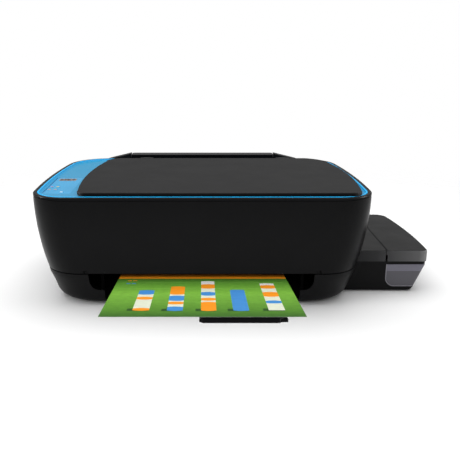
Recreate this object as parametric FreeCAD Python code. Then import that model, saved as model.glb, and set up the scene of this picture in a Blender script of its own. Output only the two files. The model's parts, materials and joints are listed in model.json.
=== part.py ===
"""Ink tank printer with flatbed scanner, one solid or group of solids per sub-part.

Millimetres, +Z up, front towards -Y.  The model is drawn from the middle of the main body's front
rim on the table, then moved so that the origin is at the bottom centre of the whole printer's box.
"""
import math
import os

import FreeCAD
import Part

V = FreeCAD.Vector

# ---- driving dimensions of the main body ----
HALF_W = 221.3          # half the width at the rim, where the bowed sides are widest
BOW_Y, BOW_R = 85.0, 1190.0     # depth of that place, and radius of the bow
REAR_Y = 294.0          # rear of the rim
FRONT_R = 45.0          # corner radius at the front
REAR_R = 60.0           # corner radius at the rear
TAPER = 25.0            # how far the sides draw in at the table
TAPER_Z = 150.0         # height where the taper starts
FRONT_TAPER, REAR_TAPER, CORNER_TAPER = 0.93, 0.5, 0.48      # shares of it at front, rear and corners
FOOT_H = 3.0            # rubber feet lift the base by this
EDGE_R = 8.0            # rounding of the base's bottom edge
WALL = 2.5              # wall of the main shells
SEAM_Z = 46.5           # top of the base housing
DOOR_Z = 48.0           # bottom of the door and the upper shell
RIM_TOP = 151.3         # top of the upper shell, a black edge round the blue frame
RIM_W = 5.0             # width of that edge
FRAME_Z = 146.0         # underside of the blue frame
BEZEL_TOP = 151.6       # top of the blue frame's raised border
BORDER_W, SLOPE_W = 2.6, 5.0    # width of that border, and of the slope inside it
DISH_Z = 149.2          # face of the frame inside its border
DOOR_SEAM_Y = 45.0      # where the door's side wings end
DOOR_SWEEP_R = 97.0     # the door's upper edge follows this arc about its hinge
GAP = 0.6               # seam between covers

# ---- lid, rear hump and tank unit ----
LID_L, LID_R = -164.0, 208.0
LID_FRONT, LID_REAR = 9.0, 268.0
LID_BOTTOM, LID_TOP = 151.8, 156.3
HUMP_HALF, HUMP_REAR, HUMP_TOP = 160.0, 310.0, 151.0
TRAY_HALF, TRAY_TOP = 117.0, 158.3
TRAY_CAP_Y = 286.6      # front of the input tray's cap
TANK_R = 313.5
TANK_FRONT, TANK_REAR = 71.0, 271.0
TANK_BOW_Y, TANK_BOW_R = 115.0, 950.0       # where its bowed side is widest, and its radius
TANK_BOTTOM, TANK_SEAM, TANK_TOP = 1.0, 44.5, 61.0
TANK_FOOT_R = 297.0     # right side of the tank unit at the table
LID_SEAM_X = 254.5      # seam between the fixed cover and the tank lid
LID_ROUND = 2.6         # rounding of the tank lid's hinged edge
LIP_FRONT = -177.2      # front of the tray extender

# ---- paper path ----
SLOPE = math.radians(7.2)           # output tray and sheet rise towards the front
SHEET_Y, SHEET_Z = 34.0, 40.0       # a point on the sheet's underside
SHEET_HALF, SHEET_LEN, SHEET_T = 108.0, 279.4, 0.4
FEED_Y, EJECT_Y, ROLLER_Z = 185.0, 86.0, 52.0
ROLLER_R, SHAFT_R = 6.0, 4.0
FIT = 0.05                          # radial clearance of a running fit
GEAR_X0, GEAR_X1 = -187.0, -181.0
MODULE = 1.0
FEED_TEETH, PINION_TEETH = 40, 20
IDLER_TEETH = round((FEED_Y - EJECT_Y) / MODULE) - FEED_TEETH
SIDE_X = 178.0                      # inner face of the chassis side plates

# ---- carriage ----
ROD_Y, ROD_Z, ROD_R = 140.0, 100.0, 4.0
CARRIAGE_X, CARRIAGE_HALF = 140.0, 32.0
PULLEY_X, PULLEY_Z, PULLEY_R = 166.0, 100.0, 6.0

# ---- origin ----
CENTRE_X = (TANK_R - HALF_W) / 2
CENTRE_Y = (HUMP_REAR + LIP_FRONT) / 2


def box(x0, x1, y0, y1, z0, z1):
    return Part.makeBox(x1 - x0, y1 - y0, z1 - z0, V(x0, y0, z0))


def rod_x(x0, x1, y, z, r):
    return Part.makeCylinder(r, x1 - x0, V(x0, y, z), V(1, 0, 0))


def rod_y(y0, y1, x, z, r):
    return Part.makeCylinder(r, y1 - y0, V(x, y0, z), V(0, 1, 0))


def rod_z(z0, z1, x, y, r):
    return Part.makeCylinder(r, z1 - z0, V(x, y, z0))


def fuse(shapes):
    """Join overlapping shapes into one solid."""
    return shapes[0].multiFuse(shapes[1:]).removeSplitter()


def rounded(x0, x1, y0, y1, radii, z):
    """Closed outline with corner radii for front-left, front-right, rear-right and rear-left."""
    corners = [(x0, y0, 180), (x1, y0, 270), (x1, y1, 0), (x0, y1, 90)]
    signs = [(1, 1), (-1, 1), (-1, -1), (1, -1)]
    arcs = []
    for (x, y, start), (sx, sy), r in zip(corners, signs, radii):
        centre = V(x + sx * r, y + sy * r, z)
        angles = [math.radians(start + turn) for turn in (0, 45, 90)]
        arcs.append([centre + V(r * math.cos(a), r * math.sin(a), 0) for a in angles])
    edges = []
    for i, arc in enumerate(arcs):
        edges.append(Part.Arc(*arc).toShape())
        edges.append(Part.LineSegment(arc[2], arcs[(i + 1) % 4][0]).toShape())
    return Part.Wire(edges)


def bowed_side(x_max, bow_y, bow_r, front, rear, front_r, rear_r):
    """Seven points of the three tangent arcs that make a right side: corner, bow, corner."""
    bow_x = x_max - bow_r
    corners = []
    for y, r in ((front + front_r, front_r), (rear - rear_r, rear_r)):
        angle = math.asin((y - bow_y) / (bow_r - r))
        corners.append((bow_x + (bow_r - r) * math.cos(angle), y, r, angle))
    (x1, y1, r1, a1), (x2, y2, r2, a2) = corners
    quarter = math.pi / 2
    arcs = [(x1, y1, r1, -quarter), (x1, y1, r1, (a1 - quarter) / 2), (x1, y1, r1, a1),
            (bow_x, bow_y, bow_r, (a1 + a2) / 2),
            (x2, y2, r2, a2), (x2, y2, r2, (a2 + quarter) / 2), (x2, y2, r2, quarter)]
    return [(x + r * math.cos(a), y + r * math.sin(a)) for x, y, r, a in arcs]


def side_edges(points, z):
    """Arcs through points 0-1-2, 2-3-4 and 4-5-6."""
    at_z = [V(x, y, z) for x, y in points]
    return [Part.Arc(*at_z[i:i + 3]).toShape() for i in (0, 2, 4)]


def line(start, end, z):
    return Part.LineSegment(V(*start, z), V(*end, z)).toShape()


def block(x0, x1, y0, y1, z0, z1, radii, top_r=0.0):
    """Rounded block; top_r rounds its upper edge."""
    solid = Part.Face(rounded(x0, x1, y0, y1, radii, z0)).extrude(V(0, 0, z1 - z0))
    if top_r:
        edges = [e for e in solid.Edges if e.BoundBox.ZMin > z1 - 0.01]
        solid = solid.makeFillet(top_r, edges)
    return solid


def prism_y(points, y0, y1):
    """Extrude an outline of (x, z) points along Y."""
    wire = Part.makePolygon([V(x, y0, z) for x, z in points + points[:1]])
    return Part.Face(wire).extrude(V(0, y1 - y0, 0))


def prism_x(points, x0, x1):
    """Extrude an outline of (y, z) points along X."""
    wire = Part.makePolygon([V(x0, y, z) for y, z in points + points[:1]])
    return Part.Face(wire).extrude(V(x1 - x0, 0, 0))


# ---- main body form ----
def body_inset(z):
    """How far the bowl-shaped body draws in at a height."""
    drawn = TAPER * max(0.0, (TAPER_Z - z) / TAPER_Z) ** 2
    low = min(EDGE_R, FOOT_H + EDGE_R - z)
    if low > 0:
        drawn += EDGE_R - math.sqrt(EDGE_R ** 2 - low ** 2)
    return drawn


def body_outline(z, inward):
    """The body's outline at a height, offset inward by a distance."""
    d = body_inset(z)
    right = bowed_side(HALF_W - d - inward, BOW_Y, BOW_R - inward, FRONT_TAPER * d + inward,
                       REAR_Y - REAR_TAPER * d - inward, FRONT_R + CORNER_TAPER * d - inward,
                       REAR_R - inward)
    left = [(-x, y) for x, y in reversed(right)]
    return Part.Wire(side_edges(right, z) + [line(right[-1], left[0], z)]
                     + side_edges(left, z) + [line(left[-1], right[0], z)])


def body_form(heights, inward=0.0):
    return Part.makeLoft([body_outline(z, inward) for z in heights], True, False)


BASE_HEIGHTS = [FOOT_H, 4.0, 6.0, 11.0, 20.0, 33.0, SEAM_Z]
BASE_INNER = [6.0, 11.0, 20.0, 33.0, SEAM_Z]
UPPER_HEIGHTS = [SEAM_Z, 62.0, 80.0, 100.0, 118.0, 133.0, FRAME_Z]
SOCKET_Y = REAR_Y - 14.0
INLET_X, INLET_Z = (-122.0, -98.0), (16.0, 36.0)
USB_X, USB_Z = (100.0, 114.0), (17.0, 30.0)
DOOR_AXIS_Y, DOOR_AXIS_Z, DOOR_PIN_R = 13.9, 51.2, 1.2
LUG_X = (150.0, 154.0)
SCREW_PLACES = [(-165, 70), (-165, 225), (0, 60), (0, 255), (165, 70), (165, 225)]
FOOT_PLACES = [(-150, 60), (150, 60), (-150, 235), (150, 235)]


def base_housing():
    shell = body_form(BASE_HEIGHTS).cut(body_form(BASE_INNER, WALL))
    shell = shell.cut(body_outline_prism(SEAM_Z - 0.01, 2.0, WALL))
    notch = prism_y([(-150, 60), (-148, 34), (-145, 27), (-139, 23.5), (-131, 22.6),
                     (131, 22.6), (138, 23.5), (143, 27), (146, 34), (147, 60)], -5, 40)
    shell = shell.cut(notch).cut(box(-129, 129, -5, 50, 9, 40))
    shell = shell.cut(box(INLET_X[0], INLET_X[1], 255, 300, INLET_Z[0], INLET_Z[1]))
    shell = shell.cut(box(USB_X[0], USB_X[1], 255, 300, USB_Z[0], USB_Z[1]))
    for x, y in SCREW_PLACES:
        shell = shell.cut(rod_z(0, 12, x, y, 1.5))
    shell = shell.cut(tube_holes())
    for side in (-1, 1):
        x0, x1 = sorted((side * LUG_X[0], side * LUG_X[1]))
        lug = box(x0, x1, DOOR_AXIS_Y - 0.6, DOOR_AXIS_Y + 5.2, SEAM_Z - 6, 54.0)
        lug = lug.cut(rod_x(x0, x1, DOOR_AXIS_Y, DOOR_AXIS_Z, DOOR_PIN_R + FIT))
        shell = shell.fuse(lug)
    return shell.removeSplitter()


def body_outline_prism(z, height, inward):
    return Part.Face(body_outline(z, inward)).extrude(V(0, 0, height))


def upper_form():
    """Open band between the base and the blue frame."""
    rim = body_outline_prism(FRAME_Z, RIM_TOP - FRAME_Z, 0)
    edges = [e for e in rim.Edges if e.BoundBox.ZMin > RIM_TOP - 0.01]
    rim = rim.makeFillet(1.2, edges).cut(body_outline_prism(FRAME_Z, RIM_TOP - FRAME_Z, RIM_W))
    return body_form(UPPER_HEIGHTS).cut(body_form(UPPER_HEIGHTS, WALL)).fuse(rim)


def door_space(gap):
    """Where the door sits: in front of its side seams and inside the arc that its top sweeps."""
    sweep = rod_x(-300, 300, DOOR_AXIS_Y, DOOR_AXIS_Z, DOOR_SWEEP_R + gap)
    return sweep.common(box(-300, 300, -10, DOOR_SEAM_Y + gap, 0, 200))


def upper_shell():
    shell = upper_form().cut(door_space(GAP))
    return shell.cut(box(-HUMP_HALF + 6, HUMP_HALF - 6, 250, 300, 66, 200))


def front_door():
    door = upper_form().common(door_space(0.0)).cut(box(-300, 300, -10, 100, 0, DOOR_Z))
    for side in (-1, 1):
        x0, x1 = sorted((side * (LUG_X[0] - 0.5), side * (LUG_X[1] + 0.5)))
        door = door.cut(box(x0, x1, 5, DOOR_AXIS_Y + 6.2, 0, DOOR_AXIS_Z + DOOR_PIN_R))
        for a, b in ((LUG_X[0] - 4.5, LUG_X[0] - 0.5), (LUG_X[1] + 0.5, LUG_X[1] + 4.5)):
            x0, x1 = sorted((side * a, side * b))
            door = door.fuse(box(x0, x1, DOOR_AXIS_Y - 2.3, DOOR_AXIS_Y + 2.0, 49.2, 53.2))
        x0, x1 = sorted((side * (LUG_X[0] - 3), side * (LUG_X[1] + 3)))
        door = door.fuse(rod_x(x0, x1, DOOR_AXIS_Y, DOOR_AXIS_Z, DOOR_PIN_R))
    return door.removeSplitter()


# ---- rear hump with the input tray ----
SLOT_REAR = 305.5


def rear_cover():
    right = [(TRAY_HALF + 1.2, HUMP_TOP), (TRAY_HALF + 1.2, TRAY_TOP), (TRAY_HALF + 3, TRAY_TOP),
             (129, 156.0), (146, 152.0), (HUMP_HALF, 148.4), (HUMP_HALF, 62)]
    profile = right + [(-x, z) for x, z in reversed(right)]
    solid = prism_y(profile, 270.0, HUMP_REAR)
    edges = [e for e in solid.Edges if e.BoundBox.YMin > HUMP_REAR - 0.01
             and e.BoundBox.XLength < 0.01 and abs(e.BoundBox.XMin) > HUMP_HALF - 1]
    solid = solid.makeFillet(8.0, edges)
    solid = solid.cut(body_form(UPPER_HEIGHTS))
    solid = solid.cut(body_outline_prism(FRAME_Z, 40, -GAP / 2))
    solid = solid.cut(box(-115, 115, 250, SLOT_REAR, 66, 200))
    return solid.cut(box(-HUMP_HALF + 8, HUMP_HALF - 8, 250, 301, 66, 146))


def input_tray():
    cap = block(-TRAY_HALF, TRAY_HALF, TRAY_CAP_Y, HUMP_REAR - 0.8, HUMP_TOP + 0.4, TRAY_TOP,
                [1.0, 1.0, 4.0, 4.0], 1.2)
    cap = cap.cut(box(-112, 112, TRAY_CAP_Y + 2.2, HUMP_REAR - 3, 0, TRAY_TOP - 2.2))
    recess = prism_x([(TRAY_CAP_Y - 1, 153.6), (TRAY_CAP_Y + 1.4, 155.2), (TRAY_CAP_Y + 1.4, 157.0),
                      (TRAY_CAP_Y - 1, 157.0)], -27, 31)
    cap = cap.cut(recess)
    plate = box(-110, 110, 302.0, 305.0, 68, TRAY_TOP - 1.5)
    return cap.fuse(plate).removeSplitter()


def paper_width_guide():
    return fuse([box(-108, -105, 288, 300, 112, 148), box(-108, -92, 297.5, 300, 112, 120)])


def input_chute():
    outline = [(301, 108), (301, 110.5), (226, 66.5), (227.3, 64.4)]
    plate = prism_x(outline, -118, 118)
    ribs = [prism_x([(292, 104), (262, 86.4), (262, 72), (292, 72)], x, x + 2.5)
            for x in (-100, -40, 37.5, 97.5)]
    return fuse([plate] + ribs)


# ---- blue frame and control panel ----
PANEL_X = (-208.6, -172.0)
PANEL_Y = (36.0, 138.0)
PANEL_FLOOR = DISH_Z - 1.25
GLASS_X, GLASS_Y = (-130.0, 170.0), (32.0, 252.0)
GLASS_Z = (147.0, 150.0)
LCD_X, LCD_Y = (-203.3, -179.0), (117.7, 132.4)
BUTTON_R = 3.0
BUTTONS = {"power_button": (-184.4, 43.7), "resume_button": (-203.6, 59.0),
           "cancel_button": (-195.6, 59.0), "copy_color_button": (-203.6, 76.5),
           "copy_black_button": (-195.6, 76.5)}
BUTTON_TRAVEL = 0.8


def panel_outline(grow, z):
    return rounded(PANEL_X[0] - grow, PANEL_X[1] + grow, PANEL_Y[0] - grow, PANEL_Y[1] + grow,
                   [6, 4, 4, 2], z)


def scanner_bezel():
    plate = body_outline_prism(FRAME_Z, BEZEL_TOP - FRAME_Z, RIM_W + 0.1)
    edges = [e for e in plate.Edges if e.BoundBox.ZMin > BEZEL_TOP - 0.01]
    plate = plate.makeFillet(0.9, edges)
    brim = RIM_W + BORDER_W
    steps = [(DISH_Z, SLOPE_W), (DISH_Z + 0.3, SLOPE_W * 0.6), (DISH_Z + 1.1, SLOPE_W * 0.22),
             (BEZEL_TOP, 0.0)]
    dish = Part.makeLoft([body_outline(z, brim + more) for z, more in steps], True, True)
    slot = box(-TRAY_HALF - 1.4, TRAY_HALF + 1.4, TRAY_CAP_Y - 2, 300, 140, 160)
    plate = plate.cut(dish).cut(slot)
    plate = plate.cut(box(GLASS_X[0] - 0.3, GLASS_X[1] + 0.3, GLASS_Y[0] - 0.3, GLASS_Y[1] + 0.3,
                          140, 160))
    pocket = Part.Face(panel_outline(0.3, PANEL_FLOOR)).extrude(V(0, 0, 10))
    plate = plate.cut(pocket)
    for x, y in BUTTONS.values():
        plate = plate.cut(rod_z(140, 160, x, y, BUTTON_R + 0.3))
    for x in HINGE_X:
        plate = plate.cut(box(x - 6, x + 6, 264, 274, 140, 160))
    return plate.removeSplitter()


def control_overlay():
    """Flush panel skin with a groove down its left edge and round its rear corner."""
    plate = Part.Face(panel_outline(0.2, PANEL_FLOOR)).extrude(V(0, 0, 1.2))
    groove_z = PANEL_FLOOR + 0.5
    plate = plate.cut(box(PANEL_X[0] - 1, PANEL_X[0] + 1.3, PANEL_Y[0] + 6, 150, groove_z, 160))
    plate = plate.cut(box(PANEL_X[0] - 1, PANEL_X[0] + 4, PANEL_Y[1] - 1.4, 150, groove_z, 160))
    plate = plate.cut(box(*LCD_X, *LCD_Y, 140, 160))
    for x, y in BUTTONS.values():
        plate = plate.cut(rod_z(140, 160, x, y, BUTTON_R + 0.3))
    return plate


def lcd_window():
    return box(LCD_X[0] + 0.1, LCD_X[1] - 0.1, LCD_Y[0] + 0.1, LCD_Y[1] - 0.1,
               PANEL_FLOOR, PANEL_FLOOR + 1.3)


def button(x, y):
    top = PANEL_FLOOR + 1.6
    stem = rod_z(143.9, top, x, y, BUTTON_R)
    edge = [e for e in stem.Edges if e.BoundBox.ZMin > top - 0.01]
    stem = stem.makeFillet(0.4, edge)
    return stem.fuse(rod_z(143.4, 145.0, x, y, BUTTON_R + 0.7)).removeSplitter()


# ---- scanner ----
BED_FLOOR_Z = 122.0
HEAD_X = (-120.0, -98.0)
RAIL_Y, RAIL_Z, RAIL_R = 140.0, 128.5, 2.5


def scanner_bed():
    tub = box(-136, 176, 26, 258, BED_FLOOR_Z, FRAME_Z)
    tub = tub.fuse(box(-129.7, 169.7, 32.3, 251.7, FRAME_Z, GLASS_Z[0]))
    return tub.cut(box(-126, 166, 36, 248, BED_FLOOR_Z + 2.5, 160)).removeSplitter()


def scanner_glass():
    return box(*GLASS_X, *GLASS_Y, *GLASS_Z)


def scan_head():
    bar = box(*HEAD_X, 40, 244, 132.5, 146.2)
    carrier = box(HEAD_X[0] + 1, HEAD_X[1] - 1, 130, 150, 125.4, 133)
    lens = box(-112, -106, 42, 242, 146.0, 146.7)
    return fuse([bar, carrier, lens]).cut(rod_x(-130, -90, RAIL_Y, RAIL_Z, RAIL_R + FIT))


def scan_rail():
    return rod_x(-126, 166, RAIL_Y, RAIL_Z, RAIL_R)


# ---- lid ----
HINGE_X = (-90.0, 130.0)
HINGE_Y, HINGE_Z = 269.0, 152.4
PAD = (-134.0, 178.0, 34.0, 250.0)


def lid_outline():
    """Outline whose long sides bow out slightly."""
    points = [V(-147, LID_FRONT, 0), V(22, LID_FRONT - 1.2, 0), V(190, LID_FRONT, 0)]
    front = Part.Arc(*points).toShape()
    right_side = Part.Arc(V(203.5, 24, 0), V(LID_R + 1, 118, 0), V(196, 232, 0)).toShape()
    rear = Part.LineSegment(V(165, LID_REAR - 2, 0), V(-132, LID_REAR - 2, 0)).toShape()
    left_side = Part.Arc(V(-152, 238, 0), V(LID_L - 0.5, 118, 0), V(-159.5, 24, 0)).toShape()
    corner_fr = Part.Arc(V(190, LID_FRONT, 0), V(200, 13.6, 0), V(203.5, 24, 0)).toShape()
    corner_rr = Part.Arc(V(196, 232, 0), V(185, 253, 0), V(165, LID_REAR - 2, 0)).toShape()
    corner_rl = Part.Arc(V(-132, LID_REAR - 2, 0), V(-145.5, 258, 0), V(-152, 238, 0)).toShape()
    corner_fl = Part.Arc(V(-159.5, 24, 0), V(-156.5, 13.6, 0), V(-147, LID_FRONT, 0)).toShape()
    return Part.Wire([front, corner_fr, right_side, corner_rr, rear, corner_rl, left_side,
                      corner_fl])


def scanner_lid():
    lid = Part.Face(lid_outline()).extrude(V(0, 0, LID_TOP - LID_BOTTOM))
    lid.translate(V(0, 0, LID_BOTTOM))
    edges = [e for e in lid.Edges if e.BoundBox.ZMin > LID_TOP - 0.01]
    lid = lid.makeFillet(1.2, edges)
    lid = lid.cut(box(PAD[0] - 0.5, PAD[1] + 0.5, PAD[2] - 0.5, PAD[3] + 0.5, 150, LID_TOP - 2))
    for x in HINGE_X:
        lid = lid.cut(box(x - 11, x + 11, 262.5, 275, 140, 200))
        for side in (-1, 1):
            x0, x1 = sorted((x + side * 6.2, x + side * 10.5))
            lid = lid.fuse(box(x0, x1, 255, HINGE_Y + 2.0, HINGE_Z, LID_TOP))
        lid = lid.cut(rod_x(x - 10.5, x + 10.5, HINGE_Y, HINGE_Z + 1.6, 1.5 + FIT))
    return lid.removeSplitter()


def lid_pad():
    return block(*PAD, GLASS_Z[1] + 0.3, LID_TOP - 2, [4, 4, 4, 4])


def lid_hinges():
    """Two posts fixed in the frame, each with its cross pin."""
    posts = []
    for x in HINGE_X:
        post = box(x - 6, x + 6, 264, 274, 138, HINGE_Z + 3.8)
        posts.append(post.fuse(rod_x(x - 10.5, x + 10.5, HINGE_Y, HINGE_Z + 1.6, 1.5)))
    return [p.removeSplitter() for p in posts]


# ---- chassis and carriage ----
def chassis():
    plate = box(-SIDE_X, SIDE_X, 168, 169.5, 66, 118)
    sides = [box(*sorted((s * SIDE_X, s * (SIDE_X + 1.5))), 76, 250, 40, 118) for s in (-1, 1)]
    frame = fuse([plate.fuse(box(-SIDE_X, SIDE_X, 150, 169.5, 116.8, 118))] + sides)
    for y, z in ((FEED_Y, ROLLER_Z), (EJECT_Y, ROLLER_Z), (PICK_Y, PICK_Z)):
        frame = frame.cut(rod_x(-200, 200, y, z, SHAFT_R + FIT))
    post = box(-PULLEY_X - 6, -PULLEY_X + 6, 169.5, 176, PULLEY_Z - 8, PULLEY_Z + 8)
    stud_x = (GEAR_X0 - 0.5, -SIDE_X - 1.5)
    stud = rod_x(*stud_x, IDLER_Y, ROLLER_Z, SHAFT_R)
    collar = rod_x(GEAR_X1 + 0.3, stud_x[1], IDLER_Y, ROLLER_Z, SHAFT_R + 3)
    frame = fuse([frame, post, stud, collar])
    frame = frame.cut(rod_y(160, 180, -PULLEY_X, PULLEY_Z, 2.0 + FIT))
    frame = frame.cut(rod_y(160, 175, PULLEY_X, PULLEY_Z, 2.2))
    frame = frame.cut(rod_x(-200, -170, PINION_Y, PINION_Z, 2.2))
    return frame.removeSplitter()


def carriage_rod():
    return rod_x(-SIDE_X, SIDE_X, ROD_Y, ROD_Z, ROD_R)


HEAD_CENTRES = (CARRIAGE_X - 15.0, CARRIAGE_X + 15.0)
LATCH_Y, LATCH_Z = 93.6, 79.0
LATCH_PIN_R, LATCH_BORE_R = 1.45, 1.5


def carriage():
    x0, x1 = CARRIAGE_X - CARRIAGE_HALF, CARRIAGE_X + CARRIAGE_HALF
    body = block(x0, x1, 96, 158, 68, 112, [3, 3, 3, 3])
    body = body.cut(box(x0 + 3, x1 - 3, 90, 132, 73, 120))
    body = body.fuse(box(CARRIAGE_X - 1, CARRIAGE_X + 1, 99, 133, 72, 106))
    for x in HEAD_CENTRES:
        body = body.cut(box(x - 11, x + 11, 102, 126, 60, 75))
    body = body.fuse(box(CARRIAGE_X - 10, CARRIAGE_X + 10, 157, 160.8, 103, 110))
    for x in (x0 - 1.2, x1 - 1.8):
        body = body.fuse(box(x, x + 3.0, 92, 100, 74, 84))
    body = body.cut(rod_x(x0 - 5, x1 + 5, LATCH_Y, LATCH_Z, LATCH_BORE_R))
    body = body.cut(rod_x(x0 - 1, x1 + 1, ROD_Y, ROD_Z, ROD_R + FIT))
    return body.removeSplitter()


def printheads():
    heads = []
    for x in HEAD_CENTRES:
        head = block(x - 13, x + 13, 100.5, 131, 73.2, 104, [2, 2, 2, 2], 1.5)
        nose = box(x - 10.5, x + 10.5, 102.5, 125.5, 64.5, 76)
        heads.append(head.fuse(nose).removeSplitter())
    return heads


def printhead_latch():
    x0, x1 = CARRIAGE_X - CARRIAGE_HALF, CARRIAGE_X + CARRIAGE_HALF
    flap = block(x0 + 2.2, x1 - 2.2, 91.8, 95.4, 77.2, 110.5, [1, 1, 1, 1])
    return flap.fuse(rod_x(x0 - 1.0, x1 + 1.0, LATCH_Y, LATCH_Z, LATCH_PIN_R)).removeSplitter()


def pulley(x, reach):
    """Toothless belt pulley with flanges and a shaft that reaches back to a given Y."""
    wheel = rod_y(161.5, 166.7, x, PULLEY_Z, PULLEY_R)
    flange = rod_y(160.7, 161.5, x, PULLEY_Z, PULLEY_R + 1.8)
    return fuse([wheel, flange, rod_y(160.7, reach, x, PULLEY_Z, 2.0)])


def carriage_belt():
    def loop(r):
        ends = [rod_y(162, 166.4, x, PULLEY_Z, r) for x in (-PULLEY_X, PULLEY_X)]
        return fuse(ends + [box(-PULLEY_X, PULLEY_X, 162, 166.4, PULLEY_Z - r, PULLEY_Z + r)])
    return loop(PULLEY_R + 1.1).cut(loop(PULLEY_R + 0.1))


def motors():
    """Carriage motor behind the back plate and paper motor inside the left plate."""
    can = rod_y(169.5, 196, PULLEY_X, PULLEY_Z, 9.5)
    can = can.cut(rod_y(165, 190, PULLEY_X, PULLEY_Z, 2.0 + FIT))
    feed = rod_x(-SIDE_X, -154, PINION_Y, PINION_Z, 9.0)
    return [can, feed.cut(rod_x(-SIDE_X, -160, PINION_Y, PINION_Z, 2.0 + FIT))]


# ---- paper drive ----
PICK_Y, PICK_Z, PICK_R = 235.0, 89.8, 14.0
PINION_Y = FEED_Y
PINION_Z = ROLLER_Z + MODULE * (FEED_TEETH + PINION_TEETH) / 2
IDLER_Y = EJECT_Y + MODULE * (IDLER_TEETH + FEED_TEETH) / 2
PINCH_R = 4.5


def gear(teeth, y, z, first, x0=GEAR_X0, x1=GEAR_X1, bore=0.0):
    """Spur gear about X with straight-flanked teeth; first is the angle of one tooth centre."""
    pitch = MODULE * teeth / 2
    step = 2 * math.pi / teeth
    half = [(pitch - 1.2 * MODULE, 0.95), (pitch, 0.62), (pitch + 0.85 * MODULE, 0.36)]
    flank = [(r, -w * MODULE / r) for r, w in half]
    tooth = flank + [(r, -a) for r, a in reversed(flank)]
    points = []
    for n in range(teeth):
        middle = first + n * step
        points += [V(x0, y + r * math.cos(middle + a), z + r * math.sin(middle + a))
                   for r, a in tooth]
    wheel = Part.Face(Part.makePolygon(points + points[:1])).extrude(V(x1 - x0, 0, 0))
    if bore:
        wheel = wheel.cut(rod_x(x0 - 1, x1 + 1, y, z, bore))
    return wheel


def roller(y, z, drums, radius, x0=-SIDE_X - 2.0, x1=SIDE_X + 2.0):
    """Steel shaft carrying drums between the given X limits."""
    shaft = rod_x(x0, x1, y, z, SHAFT_R)
    return fuse([shaft] + [rod_x(a, b, y, z, radius) for a, b in drums])


def feed_roller():
    shaft = roller(FEED_Y, ROLLER_Z, [(-112, 112)], ROLLER_R, GEAR_X0)
    return shaft.fuse(gear(FEED_TEETH, FEED_Y, ROLLER_Z, 0.0)).removeSplitter()


def eject_roller():
    drums = [(x, x + 14) for x in (-100, -62, -24, 14, 52, 86)]
    shaft = roller(EJECT_Y, ROLLER_Z, drums, ROLLER_R, GEAR_X0)
    return shaft.fuse(gear(FEED_TEETH, EJECT_Y, ROLLER_Z, math.pi / FEED_TEETH)).removeSplitter()


def pickup_roller():
    return roller(PICK_Y, PICK_Z, [(-22, 22)], PICK_R)


def pinch_rollers():
    z = ROLLER_Z + ROLLER_R + PINCH_R + 0.3
    return [fuse([rod_x(x, x + 34, FEED_Y, z, PINCH_R), rod_x(x - 4, x + 38, FEED_Y, z, 1.5)])
            for x in (-105, -61, -17, 27, 71)]


def pinch_holder():
    z = ROLLER_Z + ROLLER_R + PINCH_R + 0.3
    bar = box(-112, 112, 178, 192, z + 6, z + 9)
    arms = [box(x, x + 2.4, 182, 188, z - 3, z + 7) for x in
            (-109.2, -70.4, -65.2, -26.4, -21.2, 17.6, 22.8, 61.6, 66.8, 105.6)]
    holder = fuse([bar.fuse(box(-112, 112, 169.5, 180, z + 6, z + 9))] + arms)
    return holder.cut(rod_x(-115, 115, FEED_Y, z, 1.5 + FIT)).removeSplitter()


def motor_pinion():
    wheel = gear(PINION_TEETH, PINION_Y, PINION_Z, math.pi / PINION_TEETH)
    return wheel.fuse(rod_x(GEAR_X0, -162, PINION_Y, PINION_Z, 2.0)).removeSplitter()


def idler_gear():
    return gear(IDLER_TEETH, IDLER_Y, ROLLER_Z, math.pi / IDLER_TEETH, bore=SHAFT_R + FIT)


def platen():
    deck = box(-116, 100, 96, 177, 55, 58)
    ribs = [box(x, x + 1.5, 98, 175, 57.5, 59.2) for x in range(-108, 98, 18)]
    legs = [box(x, x + 3, 100, 170, 48, 55.5) for x in (-116, 97)]
    return fuse([deck] + ribs + legs)


def service_station():
    tub = box(108, 172, 98, 138, 36, 58).cut(box(110, 170, 100, 136, 38, 60))
    pads = [box(x - 9, x + 9, 104, 124, 37.5, 62) for x in HEAD_CENTRES]
    return fuse([tub] + pads)


# ---- output side ----
def slope_z(y, drop=0.0):
    """Height of the sheet's underside at a depth, less a drop."""
    return SHEET_Z + (SHEET_Y - y) * math.tan(SLOPE) - drop


def sloped(x0, x1, y0, y1, drop_top, thick):
    """Plate parallel to the sheet, its top a given drop below the sheet's underside."""
    outline = [(y0, slope_z(y0, drop_top)), (y1, slope_z(y1, drop_top)),
               (y1, slope_z(y1, drop_top + thick)), (y0, slope_z(y0, drop_top + thick))]
    return prism_x(outline, x0, x1)


def output_deck():
    deck = sloped(-140, 140, 56, 178, 0.4, 2.5)
    deck = deck.cut(sloped(TRAY_X[0] - 0.6, TRAY_X[1] + 0.6, 40, 190, -2, 12))
    rails = [sloped(x, x + 3, 56, 178, 0.4, 9.5) for x in (TRAY_X[0] - 3.6, TRAY_X[1] + 0.6)]
    cross = [box(-140, 140, 174, 178, 6, slope_z(178, 8.8))]
    posts = [box(x, x + 4, 60, 66, 6, slope_z(66, 2.0)) for x in (-140, 136)]
    return fuse([deck] + rails + cross + posts)


TRAY_X = (-14.0, 101.0)
LIP_X = (-3.3, 88.5)
TRAY_FRONT, TRAY_REAR = -92.0, 62.0


def output_tray():
    tray = sloped(*TRAY_X, TRAY_FRONT, TRAY_REAR, 0.6, 6.4)
    inner = sloped(LIP_X[0] - 0.5, LIP_X[1] + 0.5, TRAY_FRONT - 5, TRAY_REAR - 4, 1.8, 4.0)
    return tray.cut(inner)


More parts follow.
